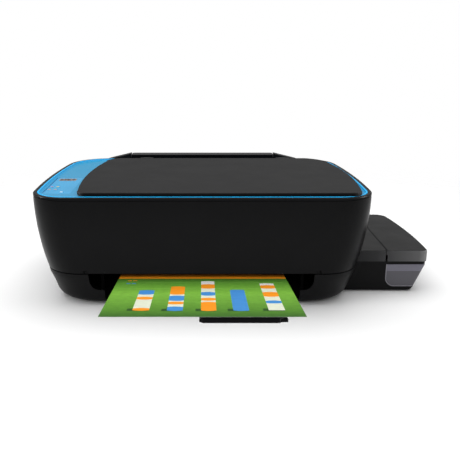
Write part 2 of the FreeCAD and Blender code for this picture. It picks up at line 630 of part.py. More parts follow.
def tray_extender():
    plate = sloped(*LIP_X, LIP_FRONT + 2, -58, 2.2, 3.2)
    z = slope_z(LIP_FRONT)
    outline = [(LIP_X[0] + 4, LIP_FRONT), (LIP_X[1] - 9, LIP_FRONT), (LIP_X[1], LIP_FRONT + 11),
               (LIP_X[1], LIP_FRONT + 16), (LIP_X[0], LIP_FRONT + 16), (LIP_X[0], LIP_FRONT + 7),
               (LIP_X[0] + 1.2, LIP_FRONT + 3)]
    wire = Part.makePolygon([V(x, y, z - 9) for x, y in outline + outline[:1]])
    lip = Part.Face(wire).extrude(V(0, 0, 12))
    lip = lip.common(sloped(-50, 150, LIP_FRONT - 1, LIP_FRONT + 30, 0.6, 5.2))
    return plate.fuse(lip).removeSplitter()


def printed_sheet():
    rear = LIP_FRONT + 2.5 + SHEET_LEN * math.cos(SLOPE)
    return sloped(-SHEET_HALF, SHEET_HALF, LIP_FRONT + 2.5, rear, -SHEET_T, SHEET_T)


# ---- electronics ----
def main_board():
    board = box(24, 140, 192, 252, 12, 13.6)
    chips = [box(53, 75, 208, 230, 13.6, 15.8), box(88, 100, 202, 220, 13.6, 15.2),
             box(108, 130, 196, 202, 13.6, 20), box(33, 41, 236, 248, 13.6, 27)]
    stands = [rod_z(6, 12, x, y, 3) for x, y in ((28, 196), (136, 196), (28, 248), (136, 248))]
    return fuse([board] + chips + stands)


def power_supply():
    return block(-156, -58, 192, 248, 6, 44, [2, 2, 2, 2], 1.5)


def mains_inlet():
    body = box(INLET_X[0] + 0.1, INLET_X[1] - 0.1, SOCKET_Y - 22, SOCKET_Y, INLET_Z[0] + 0.1,
               INLET_Z[1] - 0.1)
    z = sum(INLET_Z) / 2
    x = sum(INLET_X) / 2
    bay = fuse([rod_y(SOCKET_Y - 16, 300, x + side * 4.5, z, 5.5) for side in (-1, 1)])
    pins = [rod_y(SOCKET_Y - 16.5, SOCKET_Y - 4, x + side * 4.3, z, 1.2) for side in (-1, 1)]
    return fuse([body.cut(bay)] + pins)


def usb_socket():
    body = box(USB_X[0] + 0.1, USB_X[1] - 0.1, SOCKET_Y - 16, SOCKET_Y, USB_Z[0] + 0.1, USB_Z[1] - 0.1)
    x, z = sum(USB_X) / 2, sum(USB_Z) / 2
    bay = box(x - 4.2, x + 4.2, SOCKET_Y - 12, 300, z - 3.9, z + 3.9)
    tongue = box(x - 2.8, x + 2.8, SOCKET_Y - 13, SOCKET_Y - 3, z - 1.2, z + 1.4)
    return body.cut(bay).fuse(tongue).removeSplitter()


# ---- ink tank unit ----
TANK_FOOT_Z = 38.0
TANK_STEP = 1.3         # the covers stand out this far past the housing
TANK_LEFT = 180.0       # its left side is shaped by the main body
TANK_FRONT_R, TANK_REAR_R = 7.0, 18.0
WINDOW_X, WINDOW_Y, WINDOW_Z = 256.0, 262.0, (7.5, 40.0)
WINDOW_R = 13.0
TANK_PITCH = 46.0
CAP_X = 278.0
TANK_COLOURS = ["black", "cyan", "magenta", "yellow"]
TUBE_Y = [190.0, 198.0, 206.0, 214.0]
TUBE_X, TUBE_Z, TUBE_R = 184.5, 22.0, 1.8       # where they rise, inside the main body


def tank_outline(z, inward, draw=0.0):
    """Outline with a bowed right side; draw pulls it in further without changing the corners."""
    drop = 1 - min(1.0, z / TANK_FOOT_Z)
    grow = inward + draw
    right = bowed_side(TANK_R - (TANK_R - TANK_FOOT_R) * drop - grow, TANK_BOW_Y, TANK_BOW_R,
                       TANK_FRONT + drop + grow, TANK_REAR - grow,
                       TANK_FRONT_R - inward, TANK_REAR_R - inward)
    rear_left, front_left = (TANK_LEFT + grow, right[-1][1]), (TANK_LEFT + grow, right[0][1])
    return Part.Wire(side_edges(right, z) + [line(right[-1], rear_left, z),
                                             line(rear_left, front_left, z),
                                             line(front_left, right[0], z)])


def tank_form(inward):
    """Lower part of the tank unit, whose right side leans in towards the table."""
    low = TANK_BOTTOM + inward
    steps = [(low, 3.0), (low + 1.0, 0.9), (low + 4.0, 0.0), (TANK_FOOT_Z, 0.0)]
    wires = [tank_outline(z, inward, draw + TANK_STEP) for z, draw in steps]
    form = Part.makeLoft(wires, True, True)
    top = Part.Face(wires[-1]).extrude(V(0, 0, TANK_SEAM - TANK_FOOT_Z))
    return form.fuse(top).removeSplitter()


def body_cutter():
    """The main body's form, used to shape the side of the tank unit that meets it."""
    return fuse([body_form(BASE_HEIGHTS, -0.8), body_form(UPPER_HEIGHTS, -0.8)])


def tank_shell():
    shell = tank_form(0.0).cut(tank_form(2.0))
    inner_top = box(212, 300, TANK_FRONT + 8, TANK_REAR - 8, 38, 60)
    return shell.cut(inner_top).cut(body_cutter())


def window_region(grow):
    """Space of the window: it wraps from the front to the right side, with round lower corners."""
    z0, z1 = WINDOW_Z[0] - grow, WINDOW_Z[1] + grow
    x0, y1 = WINDOW_X - grow, WINDOW_Y + grow
    front = block(x0, 340, -z1, -z0, 0, 300, [1, 1, 1, WINDOW_R + grow])
    front.rotate(V(0, 0, 0), V(1, 0, 0), -90)
    side = block(z0, z1, 40, y1, 200, 340, [1, 1, 1, WINDOW_R + grow])
    side.rotate(V(0, 0, 0), V(0, 1, 0), -90)
    return front.common(side.mirror(V(0, 0, 0), V(1, 0, 0)))


def tank_housing():
    shell = tank_shell().cut(window_region(0.3))
    for y in TUBE_Y:
        shell = shell.cut(rod_x(190, 250, y, TUBE_Z, 2.4))
    return shell


def tank_window():
    return tank_shell().common(window_region(0.0))


def tube_holes():
    return fuse([rod_x(180, 230, y, TUBE_Z, 2.4) for y in TUBE_Y])


def ink_tubes():
    tubes = []
    for y in TUBE_Y:
        run = rod_x(TUBE_X, 256, y, TUBE_Z, TUBE_R)
        rise = rod_z(TUBE_Z, 104, TUBE_X, y, TUBE_R)
        ball = Part.makeSphere(TUBE_R, V(TUBE_X, y, TUBE_Z))
        tubes.append(fuse([run, ball, rise]))
    return tubes


def tank_y(index):
    return TANK_FRONT + 7.5 + index * TANK_PITCH


def ink_tanks():
    outline = [(256.2, 8), (284.0, 8), (294.0, 32), (295.5, 43.5), (256.2, 43.5)]
    tanks = []
    for index in range(len(TANK_COLOURS)):
        y = tank_y(index)
        tank = prism_y(outline, y, y + TANK_PITCH - 2.0)
        neck = rod_z(43, 50, CAP_X, y + TANK_PITCH / 2 - 1, 8.0)
        tanks.append(tank.fuse(neck).removeSplitter())
    return tanks


def ink_cap(index):
    y = tank_y(index) + TANK_PITCH / 2 - 1
    cap = rod_z(46.5, 54.0, CAP_X, y, 10.0)
    cap = cap.fuse(box(CAP_X - 15, CAP_X, y - 3.5, y + 3.5, 51.5, 54.0))
    return cap.cut(rod_z(40, 50.4, CAP_X, y, 8.0 + FIT)).removeSplitter()


def tank_top(inward, x0, x1):
    """Upper part of the tank unit between two X limits, with a rounded top edge."""
    low, top = TANK_SEAM + 0.3, TANK_TOP - inward
    solid = Part.Face(tank_outline(low, inward)).extrude(V(0, 0, top - low))
    edges = [e for e in solid.Edges if e.BoundBox.ZMin > top - 0.01]
    return solid.makeFillet(2.6 - inward, edges).common(box(x0, x1, 0, 300, 40, 70))


def tank_cover():
    shell = tank_top(0, 170, LID_SEAM_X - 0.4).cut(tank_top(2, 170, LID_SEAM_X - 6))
    return shell.cut(body_cutter())


TANK_HINGE_X, TANK_HINGE_Z = LID_SEAM_X + 0.4 + LID_ROUND, TANK_TOP - LID_ROUND


def tank_lid():
    """Lid over the filler caps; its left edge is rounded about the hinge axis."""
    shell = tank_top(0, LID_SEAM_X + 0.4, 320).cut(tank_top(2, LID_SEAM_X + 2.4, 320))
    shell = shell.cut(box(LID_SEAM_X, LID_SEAM_X + 2.4, 0, 300, 40, TANK_TOP - 7))
    corner = box(LID_SEAM_X, TANK_HINGE_X, 0, 300, TANK_HINGE_Z, TANK_TOP + 1)
    return shell.cut(corner.cut(rod_y(0, 300, TANK_HINGE_X, TANK_HINGE_Z, LID_ROUND)))


# ---- feet and screws ----
def feet():
    pads = [rod_z(0, FOOT_H, x, y, 9) for x, y in FOOT_PLACES]
    return pads + [rod_z(0, TANK_BOTTOM, 276, y, 7) for y in (100, 245)]


def base_screws():
    return [fuse([rod_z(1.6, FOOT_H, x, y, 3), rod_z(FOOT_H - 0.5, 11, x, y, 1.4)])
            for x, y in SCREW_PLACES]


NODES = {
    "base_housing": base_housing, "upper_shell": upper_shell, "front_door": front_door,
    "rear_cover": rear_cover, "input_tray": input_tray, "paper_width_guide": paper_width_guide,
    "input_chute": input_chute, "scanner_bezel": scanner_bezel,
    "control_overlay": control_overlay, "lcd_window": lcd_window, "scanner_bed": scanner_bed,
    "scanner_glass": scanner_glass, "scan_head": scan_head, "scan_rail": scan_rail,
    "scanner_lid": scanner_lid, "lid_pad": lid_pad, "lid_hinges": lid_hinges,
    "chassis": chassis, "carriage_rod": carriage_rod, "carriage": carriage,
    "printheads": printheads, "printhead_latch": printhead_latch,
    "carriage_belt": carriage_belt, "motors": motors, "feed_roller": feed_roller,
    "eject_roller": eject_roller, "pickup_roller": pickup_roller,
    "pinch_rollers": pinch_rollers, "pinch_holder": pinch_holder, "motor_pinion": motor_pinion,
    "idler_gear": idler_gear,
    "platen": platen, "service_station": service_station, "output_deck": output_deck,
    "output_tray": output_tray, "tray_extender": tray_extender, "printed_sheet": printed_sheet,
    "main_board": main_board, "power_supply": power_supply, "mains_inlet": mains_inlet,
    "usb_socket": usb_socket, "tank_housing": tank_housing, "tank_window": tank_window,
    "tank_cover": tank_cover, "tank_lid": tank_lid, "ink_tanks": ink_tanks,
    "ink_tubes": ink_tubes, "feet": feet, "base_screws": base_screws,
}


def build_all():
    """Every node's shape: one solid, or a list of separate solids."""
    shapes = {name: make() for name, make in NODES.items()}
    for name, (x, y) in BUTTONS.items():
        shapes[name] = button(x, y)
    for index, colour in enumerate(TANK_COLOURS):
        shapes["cap_" + colour] = ink_cap(index)
    shapes["motor_pulley"] = pulley(PULLEY_X, 188.0)
    shapes["idler_pulley"] = pulley(-PULLEY_X, 178.0)
    return shapes


def main():
    os.makedirs("parts", exist_ok=True)
    for name, shape in build_all().items():
        solids = shape if isinstance(shape, list) else [shape]
        whole = Part.makeCompound(solids)
        whole.translate(V(-CENTRE_X, -CENTRE_Y, 0))
        whole.exportStep("parts/" + name + ".step")


if __name__ == "__main__":
    main()
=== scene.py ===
"""Looks of the ink tank printer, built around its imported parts.

Lengths are written in millimetres in the body frame: x = 0 at the middle of the main body,
y = 0 at its front rim, z = 0 on the table.  at() turns such a place into the row frame.
"""
import json
import math
import bpy
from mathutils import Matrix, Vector


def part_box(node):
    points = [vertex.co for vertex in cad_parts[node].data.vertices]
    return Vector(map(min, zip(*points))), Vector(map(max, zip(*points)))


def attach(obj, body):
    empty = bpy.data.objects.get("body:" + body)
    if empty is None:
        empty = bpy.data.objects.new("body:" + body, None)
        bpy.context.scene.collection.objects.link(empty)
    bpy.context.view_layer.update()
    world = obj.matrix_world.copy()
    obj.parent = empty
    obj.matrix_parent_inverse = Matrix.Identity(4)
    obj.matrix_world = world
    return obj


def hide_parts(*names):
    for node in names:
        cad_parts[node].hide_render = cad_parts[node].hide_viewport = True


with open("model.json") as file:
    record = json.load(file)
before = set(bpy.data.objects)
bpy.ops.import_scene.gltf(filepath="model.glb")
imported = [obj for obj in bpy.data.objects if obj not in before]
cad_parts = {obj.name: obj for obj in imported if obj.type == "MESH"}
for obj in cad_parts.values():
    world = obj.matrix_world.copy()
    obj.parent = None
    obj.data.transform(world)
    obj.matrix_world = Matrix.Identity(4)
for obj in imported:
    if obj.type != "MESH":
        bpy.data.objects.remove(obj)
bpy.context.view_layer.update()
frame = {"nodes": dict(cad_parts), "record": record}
NODES = frame["nodes"]
MM = 0.001

door_low, door_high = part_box("front_door")
BODY_X = (door_low.x + door_high.x) / 2
BODY_Y = door_low.y


def at(x, y, z):
    return Vector((BODY_X + x * MM, BODY_Y + y * MM, z * MM))


# ---- camera ----
CAMERA_PLACE = (0.0, -819.0, 342.0)
CAMERA_DOWN = math.radians(15.8)
LENS, SENSOR, SHIFT_X = 52.83, 36.0, 0.06

# ---- lights (place and target in millimetres, size in metres, power in watts) and floor ----
WORLD_FILL = 0.34
SOFTBOXES = [
    ("overhead", (0, 300, 1500), (40, 130, 0), (2.4, 1.7), 31),
    ("front_fill", (0, -1500, 900), (40, 0, 30), (1.8, 0.7), 7),
    ("rear_glow", (0, 1900, 420), (20, 240, 150), (2.6, 0.35), 0.3),
]
STRIP_SIZE = (0.14, 0.6)        # the strips show only in reflections
LEFT_STRIP = ((-1300, 60, 520), (-190, 40, 120), STRIP_SIZE, 20)
RIGHT_STRIP = ((1500, 40, 520), (190, 40, 120), STRIP_SIZE, 28)
LEFT_FILL = ((-1400, -300, 500), (-200, 100, 0), (1.2, 0.8), 5)    # never shows in reflections

FLOOR_FADE = (0.45, 1.1)        # distances from the origin where the floor starts and ends its fade
FLOOR_HALF = 4.0
FLOOR_DROP = 0.0002             # keeps the floor clear of the feet
FLOOR_WHITE = (0.9, 0.9, 0.9)


def add_camera():
    data = bpy.data.cameras.new("camera")
    data.lens = LENS
    data.sensor_width = SENSOR
    data.shift_x = SHIFT_X
    camera = bpy.data.objects.new("camera", data)
    camera.location = at(*CAMERA_PLACE)
    camera.rotation_euler = (math.pi / 2 - CAMERA_DOWN, 0, 0)
    bpy.context.collection.objects.link(camera)
    bpy.context.scene.camera = camera


def add_softbox(name, place, target, size, power, diffuse=True, glossy=True):
    """An area light; the two switches keep it off matt surfaces or out of reflections."""
    data = bpy.data.lights.new(name, "AREA")
    data.shape = "RECTANGLE"
    data.size, data.size_y = size
    data.energy = power
    light = bpy.data.objects.new(name, data)
    light.location = at(*place)
    direction = at(*target) - light.location
    light.rotation_euler = direction.to_track_quat("-Z", "Y").to_euler()
    light.visible_camera = False
    light.visible_diffuse = diffuse
    light.visible_glossy = glossy
    bpy.context.collection.objects.link(light)


def add_world(fill):
    """White where the camera looks past the floor, and an even grey fill for everything else."""
    world = bpy.data.worlds.new("studio")
    world.use_nodes = True
    nodes, links = world.node_tree.nodes, world.node_tree.links
    nodes.clear()
    seen = nodes.new("ShaderNodeBackground")
    seen.inputs["Color"].default_value = (1, 1, 1, 1)
    lit = nodes.new("ShaderNodeBackground")
    lit.inputs["Color"].default_value = (fill, fill, fill, 1)
    path = nodes.new("ShaderNodeLightPath")
    mix = nodes.new("ShaderNodeMixShader")
    out = nodes.new("ShaderNodeOutputWorld")
    links.new(path.outputs["Is Camera Ray"], mix.inputs[0])
    links.new(lit.outputs[0], mix.inputs[1])
    links.new(seen.outputs[0], mix.inputs[2])
    links.new(mix.outputs[0], out.inputs[0])
    bpy.context.scene.world = world


def floor_white():
    """Matt white that fades out far from the printer, into the white behind it."""
    material = bpy.data.materials.new("floor_white")
    material.use_nodes = True
    tree = material.node_tree
    tree.nodes.clear()
    coords = tree.nodes.new("ShaderNodeTexCoord")
    reach = tree.nodes.new("ShaderNodeVectorMath")
    reach.operation = "LENGTH"
    tree.links.new(coords.outputs["Object"], reach.inputs[0])
    fade = node(tree, "ShaderNodeMapRange", From_Min=FLOOR_FADE[0], From_Max=FLOOR_FADE[1])
    fade.interpolation_type = "SMOOTHSTEP"
    tree.links.new(reach.outputs["Value"], fade.inputs["Value"])
    matt = node(tree, "ShaderNodeBsdfDiffuse", Color=(*FLOOR_WHITE, 1))
    clear = tree.nodes.new("ShaderNodeBsdfTransparent")
    mix = tree.nodes.new("ShaderNodeMixShader")
    out = tree.nodes.new("ShaderNodeOutputMaterial")
    tree.links.new(fade.outputs["Result"], mix.inputs[0])
    tree.links.new(matt.outputs[0], mix.inputs[1])
    tree.links.new(clear.outputs[0], mix.inputs[2])
    tree.links.new(mix.outputs[0], out.inputs["Surface"])
    return material


def add_floor():
    mesh = bpy.data.meshes.new("floor")
    signs = ((-1, -1), (1, -1), (1, 1), (-1, 1))
    corners = [(x * FLOOR_HALF, y * FLOOR_HALF, -FLOOR_DROP) for x, y in signs]
    mesh.from_pydata(corners, [], [(0, 1, 2, 3)])
    floor = bpy.data.objects.new("floor", mesh)
    bpy.context.collection.objects.link(floor)
    floor.data.materials.append(floor_white())


def add_lights():
    for softbox in SOFTBOXES:
        add_softbox(*softbox)
    add_softbox("left_strip", *LEFT_STRIP, diffuse=False)
    add_softbox("right_strip", *RIGHT_STRIP, diffuse=False)
    add_softbox("left_fill", *LEFT_FILL, glossy=False)


# ---- material building ----
PATCH_SCALE = 22.0      # broad, faint patches of colour and gloss on moulded plastic


def new_material(name):
    material = bpy.data.materials.new(name)
    material.use_nodes = True
    tree = material.node_tree
    return material, tree, tree.nodes["Principled BSDF"]


def node(tree, kind, **inputs):
    """Add a node and set its inputs by name; underscores stand for spaces."""
    made = tree.nodes.new(kind)
    for key, value in inputs.items():
        made.inputs[key.replace("_", " ")].default_value = value
    return made


def object_coords(tree, stretch=(1, 1, 1)):
    coords = tree.nodes.new("ShaderNodeTexCoord")
    mapping = node(tree, "ShaderNodeMapping", Scale=stretch)
    tree.links.new(coords.outputs["Object"], mapping.inputs["Vector"])
    return mapping.outputs["Vector"]


def noise(tree, where, scale, detail=2.0):
    texture = node(tree, "ShaderNodeTexNoise", Scale=scale, Detail=detail)
    tree.links.new(where, texture.inputs["Vector"])
    return texture.outputs["Fac"]


def ramp(tree, value, stops):
    made = tree.nodes.new("ShaderNodeValToRGB")
    band = made.color_ramp
    while len(band.elements) < len(stops):
        band.elements.new(0.5)
    for element, (place, colour) in zip(band.elements, stops):
        element.position = place
        element.color = (*colour, 1)
    tree.links.new(value, made.inputs["Fac"])
    return made.outputs["Color"]


def spread(tree, value, low, high):
    """Map 0..1 noise onto low..high."""
    made = node(tree, "ShaderNodeMapRange", From_Min=0.3, From_Max=0.7, To_Min=low, To_Max=high)
    tree.links.new(value, made.inputs["Value"])
    return made.outputs["Result"]


def add_bump(tree, shader, height, depth_mm):
    bump = node(tree, "ShaderNodeBump", Strength=1.0, Distance=depth_mm * MM)
    tree.links.new(height, bump.inputs["Height"])
    tree.links.new(bump.outputs["Normal"], shader.inputs["Normal"])


def height_mask(tree, place, span):
    """0 below a height of the body frame, 1 above it, over a span in millimetres."""
    coords = tree.nodes.new("ShaderNodeSeparateXYZ")
    tree.links.new(object_coords(tree), coords.inputs["Vector"])
    mask = node(tree, "ShaderNodeMapRange", From_Min=place * MM, From_Max=(place + span) * MM)
    tree.links.new(coords.outputs["Z"], mask.inputs["Value"])
    return mask.outputs["Result"]


def blend_colours(tree, factor, low, high):
    mix = tree.nodes.new("ShaderNodeMix")
    mix.data_type = "RGBA"
    tree.links.new(factor, mix.inputs["Factor"])
    for name, colour in (("A", low), ("B", high)):
        if isinstance(colour, tuple):
            mix.inputs[name].default_value = (*colour, 1)
        else:
            tree.links.new(colour, mix.inputs[name])
    return mix.outputs["Result"]


def shade(colour, factor):
    return tuple(min(1.0, c * factor) for c in colour)


def plastic(name, colour, roughness, specular=0.5, grain=1400.0, depth=0.02, uneven=0.10):
    """Moulded plastic: fine grain, slightly uneven colour and gloss."""
    material, tree, shader = new_material(name)
    where = object_coords(tree)
    patches = noise(tree, where, PATCH_SCALE, 3.0)
    stops = [(0.3, shade(colour, 1 - uneven)), (0.7, shade(colour, 1 + uneven))]
    tree.links.new(ramp(tree, patches, stops), shader.inputs["Base Color"])
    tree.links.new(spread(tree, patches, roughness * 0.94, roughness * 1.06), shader.inputs["Roughness"])
    shader.inputs["Specular IOR Level"].default_value = specular
    add_bump(tree, shader, noise(tree, where, grain), depth)
    return material


# ---- colours ----
# the blue border's colour is a painted highlight on its raised lip; the slope's colour is painted shade
BLUE_BORDER_HIGHLIGHT, BLUE_SLOPE_SHADE = (0.001, 0.42, 0.84), (0.001, 0.27, 0.56)
# painted shading: the blue field's colour shifts from front to rear
BLUE_FIELD_SHADED_FRONT, BLUE_FIELD_SHADED_REAR = (0.030, 0.27, 0.49), (0.013, 0.26, 0.47)
BODY_BLACK = (0.0044, 0.0044, 0.0047)
INNER_BLACK = (0.0058, 0.0058, 0.0061)
GLOSS_BLACK = (0.004, 0.004, 0.0045)
# painted shade on the lid's side below its rounded edge
LID_SIDE_PAINTED_SHADE = (0.0020, 0.0020, 0.0022)
LID_GREY = (0.0056, 0.0056, 0.0059)
OVERLAY_BLUE, BUTTON_BLUE = (0.036, 0.315, 0.58), (0.060, 0.34, 0.60)
DISPLAY_GREY, PART_GREY = (0.25, 0.19, 0.17), (0.085, 0.088, 0.09)
RUBBER, BELT, CAP_BLACK = (0.012, 0.012, 0.012), (0.010, 0.010, 0.010), (0.016, 0.016, 0.018)
GEAR_WHITE, PAPER_WHITE = (0.66, 0.66, 0.61), (0.88, 0.88, 0.87)
GLASS_TINT, TANK_TINT, TUBE_TINT = (0.82, 0.90, 0.88), (0.30, 0.29, 0.32), (0.72, 0.74, 0.76)
WINDOW_INK, WINDOW_AIR = (0.075, 0.073, 0.086), (0.135, 0.130, 0.165)
WINDOW_RIM = (0.20, 0.195, 0.22)
STEEL_TONES = [(0.3, (0.42, 0.43, 0.45)), (0.7, (0.62, 0.63, 0.65))]
FOAM_TONES = [(0.0, (0.70, 0.70, 0.68)), (0.6, (0.86, 0.86, 0.84))]
CIRCUIT_TONES = {"Color1": (0.010, 0.115, 0.045), "Color2": (0.013, 0.135, 0.055),
                 "Mortar": (0.035, 0.24, 0.10)}
# painted highlight on the tank covers' skirt, brightening towards the outer corner
SKIRT_HIGHLIGHT_TONES = [(0.2, (0.010, 0.010, 0.011)), (0.45, (0.022, 0.022, 0.023)),
               (0.62, (0.050, 0.050, 0.052)), (0.90, (0.095, 0.095, 0.097)),
               (0.97, (0.20, 0.20, 0.20)), (1.0, (0.12, 0.12, 0.12))]
PAGE_TONES = [(0.0, (0.035, 0.125, 0.012)), (0.16, (0.09, 0.25, 0.022)),
              (0.55, (0.19, 0.45, 0.045)), (0.85, (0.11, 0.32, 0.028)), (1.0, (0.045, 0.16, 0.014))]

# ---- heights where a colour changes, in millimetres ----
BORDER_RISE = 2.2       # how far the frame's border stands above its field; the painted shade on its slope starts there
BORDER_EDGE = 0.5       # the border's painted highlight reaches this far down its side
EDGE_DROP = 1.2         # the lid's painted-shade rim and the tank covers' painted-highlight skirt end this far below their tops
INK_LEVEL_Z = 30.0
PAGE_FADE = 180.0       # the page's tones run over this depth from its near edge


# ---- finishes of the record's material slots ----
def brushed_steel():
    """Rolled sheet steel, drawn out along the machine."""
    material, tree, shader = new_material("steel")
    streaks = noise(tree, object_coords(tree, (0.04, 1, 1)), 900.0, 4.0)
    tree.links.new(ramp(tree, streaks, STEEL_TONES), shader.inputs["Base Color"])
    tree.links.new(spread(tree, streaks, 0.26, 0.40), shader.inputs["Roughness"])
    shader.inputs["Metallic"].default_value = 1.0
    add_bump(tree, shader, streaks, 0.01)
    return material


def clear_plastic(name, colour, roughness, transmission):
    """Tinted see-through moulding with a faint haze."""
    material, tree, shader = new_material(name)
    haze = noise(tree, object_coords(tree), 60.0, 3.0)
    tree.links.new(ramp(tree, haze, [(0.3, shade(colour, 0.92)), (0.7, shade(colour, 1.06))]),
                   shader.inputs["Base Color"])
    tree.links.new(spread(tree, haze, roughness * 0.8, roughness * 1.2), shader.inputs["Roughness"])
    shader.inputs["Transmission Weight"].default_value = transmission
    shader.inputs["IOR"].default_value = 1.47
    return material


def foam():
    """White backing foam with open cells."""
    material, tree, shader = new_material("white_foam")
    where = object_coords(tree)
    cells = tree.nodes.new("ShaderNodeTexVoronoi")
    cells.inputs["Scale"].default_value = 900.0
    tree.links.new(where, cells.inputs["Vector"])
    tones = ramp(tree, cells.outputs["Distance"], FOAM_TONES)
    tree.links.new(tones, shader.inputs["Base Color"])
    shader.inputs["Roughness"].default_value = 0.9
    add_bump(tree, shader, cells.outputs["Distance"], 0.15)
    return material


def circuit():
    """Green solder mask with faint copper tracks."""
    material, tree, shader = new_material("circuit_green")
    where = object_coords(tree)
    tracks = tree.nodes.new("ShaderNodeTexBrick")
    tracks.inputs["Scale"].default_value = 260.0
    for name, colour in CIRCUIT_TONES.items():
        tracks.inputs[name].default_value = (*colour, 1)
    tracks.inputs["Mortar Size"].default_value = 0.05
    tree.links.new(where, tracks.inputs["Vector"])
    tree.links.new(tracks.outputs["Color"], shader.inputs["Base Color"])
    shader.inputs["Roughness"].default_value = 0.35
    add_bump(tree, shader, tracks.outputs["Fac"], 0.02)
    return material


def blue_frame():
    """Satin blue: a painted highlight on the raised border, painted shade on the slope inside it, and a
    dished field with painted shading from front to rear.
    """
    material, tree, shader = new_material("blue_plastic")
    where = object_coords(tree)
    coords = tree.nodes.new("ShaderNodeSeparateXYZ")
    tree.links.new(where, coords.inputs["Vector"])
    low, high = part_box("scanner_bezel")
    depth = node(tree, "ShaderNodeMapRange", From_Min=low.y, From_Max=high.y)
    tree.links.new(coords.outputs["Y"], depth.inputs["Value"])
    # painted shading: the field's colour shifts from its front to its rear
    field_shading_tones = [(0.05, BLUE_FIELD_SHADED_FRONT), (0.75, BLUE_FIELD_SHADED_REAR)]
    field = ramp(tree, depth.outputs["Result"], field_shading_tones)
    # painted highlight: the raised border is coloured brighter than the field
    border_highlight_tones = [(0.3, shade(BLUE_BORDER_HIGHLIGHT, 0.97)), (0.7, shade(BLUE_BORDER_HIGHLIGHT, 1.03))]
    border = ramp(tree, noise(tree, where, PATCH_SCALE), border_highlight_tones)
    top = high.z / MM
    # painted shade on the slope below the border, then the painted highlight on the border's top
    inside = blend_colours(tree, height_mask(tree, top - BORDER_RISE, 0.3), field, BLUE_SLOPE_SHADE)
    tree.links.new(blend_colours(tree, height_mask(tree, top - BORDER_EDGE, 0.3), inside, border),
                   shader.inputs["Base Color"])
    tree.links.new(spread(tree, noise(tree, where, 30.0), 0.30, 0.36), shader.inputs["Roughness"])
    shader.inputs["Specular IOR Level"].default_value = 0.22
    add_bump(tree, shader, noise(tree, where, 1600.0), 0.01)
    return material


def lid_texture():
    """Charcoal lid with a fine moulded texture; its rim below the rounded edge is painted black as
    shade.
    """
    material, tree, shader = new_material("lid_grey")
    where = object_coords(tree)
    patches = noise(tree, where, PATCH_SCALE, 3.0)
    face = ramp(tree, patches, [(0.3, shade(LID_GREY, 0.92)), (0.7, shade(LID_GREY, 1.08))])
    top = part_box("scanner_lid")[1].z / MM
    # painted shade: black on the lid's side below its rounded edge, charcoal above
    tree.links.new(blend_colours(tree, height_mask(tree, top - EDGE_DROP, 0.6), LID_SIDE_PAINTED_SHADE, face),
                   shader.inputs["Base Color"])
    tree.links.new(spread(tree, patches, 0.47, 0.53), shader.inputs["Roughness"])
    shader.inputs["Specular IOR Level"].default_value = 0.14
    add_bump(tree, shader, noise(tree, where, 900.0), 0.05)
    return material


def skirt_plastic():
    """Tank covers: satin black above, with a painted highlight on the skirt, brighter towards the outer
    corner.
    """
    material, tree, shader = new_material("tank_black")
    where = object_coords(tree)
    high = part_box("tank_lid")[1]
    coords = tree.nodes.new("ShaderNodeSeparateXYZ")
    tree.links.new(where, coords.inputs["Vector"])
    across = node(tree, "ShaderNodeMapRange", From_Min=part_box("tank_cover")[0].x, From_Max=high.x)
    tree.links.new(coords.outputs["X"], across.inputs["Value"])
    # painted highlight: the skirt's colour brightens towards the outer corner
    skirt = ramp(tree, across.outputs["Result"], SKIRT_HIGHLIGHT_TONES)
    mask = height_mask(tree, high.z / MM - EDGE_DROP, 0.5)
    tree.links.new(blend_colours(tree, mask, skirt, BODY_BLACK), shader.inputs["Base Color"])
    tree.links.new(spread(tree, noise(tree, where, 30.0), 0.34, 0.42), shader.inputs["Roughness"])
    shader.inputs["Specular IOR Level"].default_value = 0.17
    add_bump(tree, shader, noise(tree, where, 1400.0), 0.01)
    return material


def smoked_window():
    """Smoked window of the tanks: pale above the ink level, darker below it."""
    material, tree, shader = new_material("smoked_window")
    where = object_coords(tree)
    haze = noise(tree, where, 15.0)
    ink = ramp(tree, haze, [(0.3, shade(WINDOW_INK, 0.96)), (0.7, shade(WINDOW_INK, 1.04))])
    tree.links.new(blend_colours(tree, height_mask(tree, INK_LEVEL_Z, 0.5), ink, WINDOW_AIR),
                   shader.inputs["Base Color"])
    tree.links.new(spread(tree, haze, 0.12, 0.16), shader.inputs["Roughness"])
    shader.inputs["Specular IOR Level"].default_value = 0.4
    return material


def paper_green():
    """Coated page: a green field, lighter in the middle and darker at both ends."""
    material, tree, shader = new_material("page_green")
    where = object_coords(tree)
    coords = tree.nodes.new("ShaderNodeSeparateXYZ")
    tree.links.new(where, coords.inputs["Vector"])
    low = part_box("printed_sheet")[0]
    along = node(tree, "ShaderNodeMapRange", From_Min=low.y, From_Max=low.y + PAGE_FADE * MM)
    tree.links.new(coords.outputs["Y"], along.inputs["Value"])
    field = ramp(tree, along.outputs["Result"], PAGE_TONES)
    blades = noise(tree, object_coords(tree, (0.35, 1, 1)), 420.0, 4.0)
    tint = ramp(tree, blades, [(0.3, (0.82, 0.82, 0.82)), (0.7, (1.12, 1.12, 1.12))])
    mix = tree.nodes.new("ShaderNodeMix")
    mix.data_type = "RGBA"
    mix.blend_type = "MULTIPLY"
    mix.inputs["Factor"].default_value = 1.0
    tree.links.new(field, mix.inputs["A"])
    tree.links.new(tint, mix.inputs["B"])
    tree.links.new(mix.outputs["Result"], shader.inputs["Base Color"])
    shader.inputs["Roughness"].default_value = 0.42
    shader.inputs["Specular IOR Level"].default_value = 0.35
    add_bump(tree, shader, noise(tree, where, 1800.0), 0.01)
    return material


